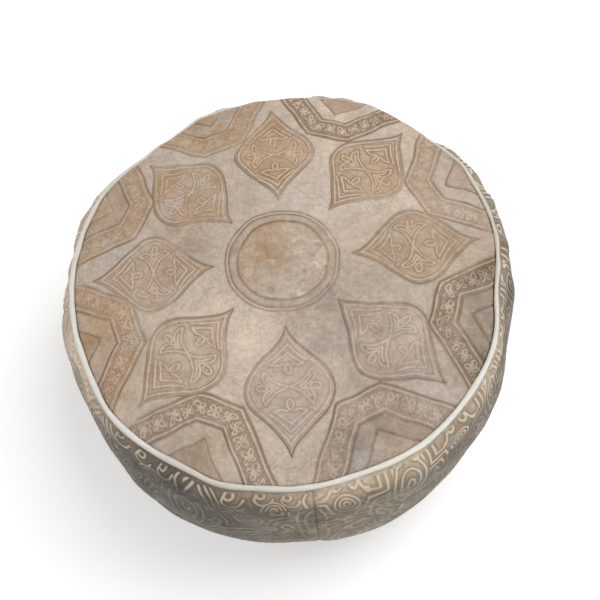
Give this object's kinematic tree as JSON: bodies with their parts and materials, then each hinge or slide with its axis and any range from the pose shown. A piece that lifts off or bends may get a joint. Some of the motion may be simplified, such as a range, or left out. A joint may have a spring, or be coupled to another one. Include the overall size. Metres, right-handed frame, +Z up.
{
  "type": "leather pouf",
  "caption": "Low round leather pouf with a tooled floral top, a piped top edge, an embossed bulging side and a zipped, stuffed cover.",
  "frame": {"origin": "centre of the base, on the floor", "axes": "+Z up, +X along the zip toward the end where the slider rests closed, -Y toward the front as pictured"},
  "size_m": [0.54, 0.54, 0.2796],
  "materials": {
    "tooled_leather": "satin, tooled and rubbed with light wax",
    "side_leather": "satin, embossed and rubbed with light wax",
    "piping_leather": "satin",
    "base_leather": "plain, satin",
    "cord": "twisted cotton",
    "zip_tape": "woven",
    "zip_teeth": "moulded",
    "zip_metal": "aged",
    "bag_cotton": "plain woven calico",
    "stuffing": "shredded textile"
  },
  "bodies": {
    "pouf": {"top_panel": "tooled_leather", "top_piping": "piping_leather", "piping_cord": "cord", "side_panel_1": "side_leather", "side_panel_2": "side_leather", "side_panel_3": "side_leather", "side_panel_4": "side_leather", "base_panel_rear": "base_leather", "base_panel_front": "base_leather", "zip_tape_rear": "zip_tape", "zip_tape_front": "zip_tape", "zip_teeth_rear": "zip_teeth", "zip_teeth_front": "zip_teeth", "zip_top_stops": "zip_metal", "zip_bottom_stop": "zip_metal", "inner_bag": "bag_cotton", "stuffing": "stuffing"},
    "slider": {"zip_slider": "zip_metal"},
    "pull": {"zip_pull": "zip_metal"}
  },
  "joints": [
    {"name": "zip_slide", "type": "slide", "parent": "pouf", "child": "slider", "axis": [-1, 0, 0], "range_m": [0, 0.288], "deforming": ["zip_teeth_rear", "zip_teeth_front"]},
    {"name": "pull_hinge", "type": "hinge", "parent": "slider", "child": "pull", "pos_m": [0.1469, 0, 0.0088], "axis": [0, -1, 0], "range_deg": [0, 180]}
  ]
}
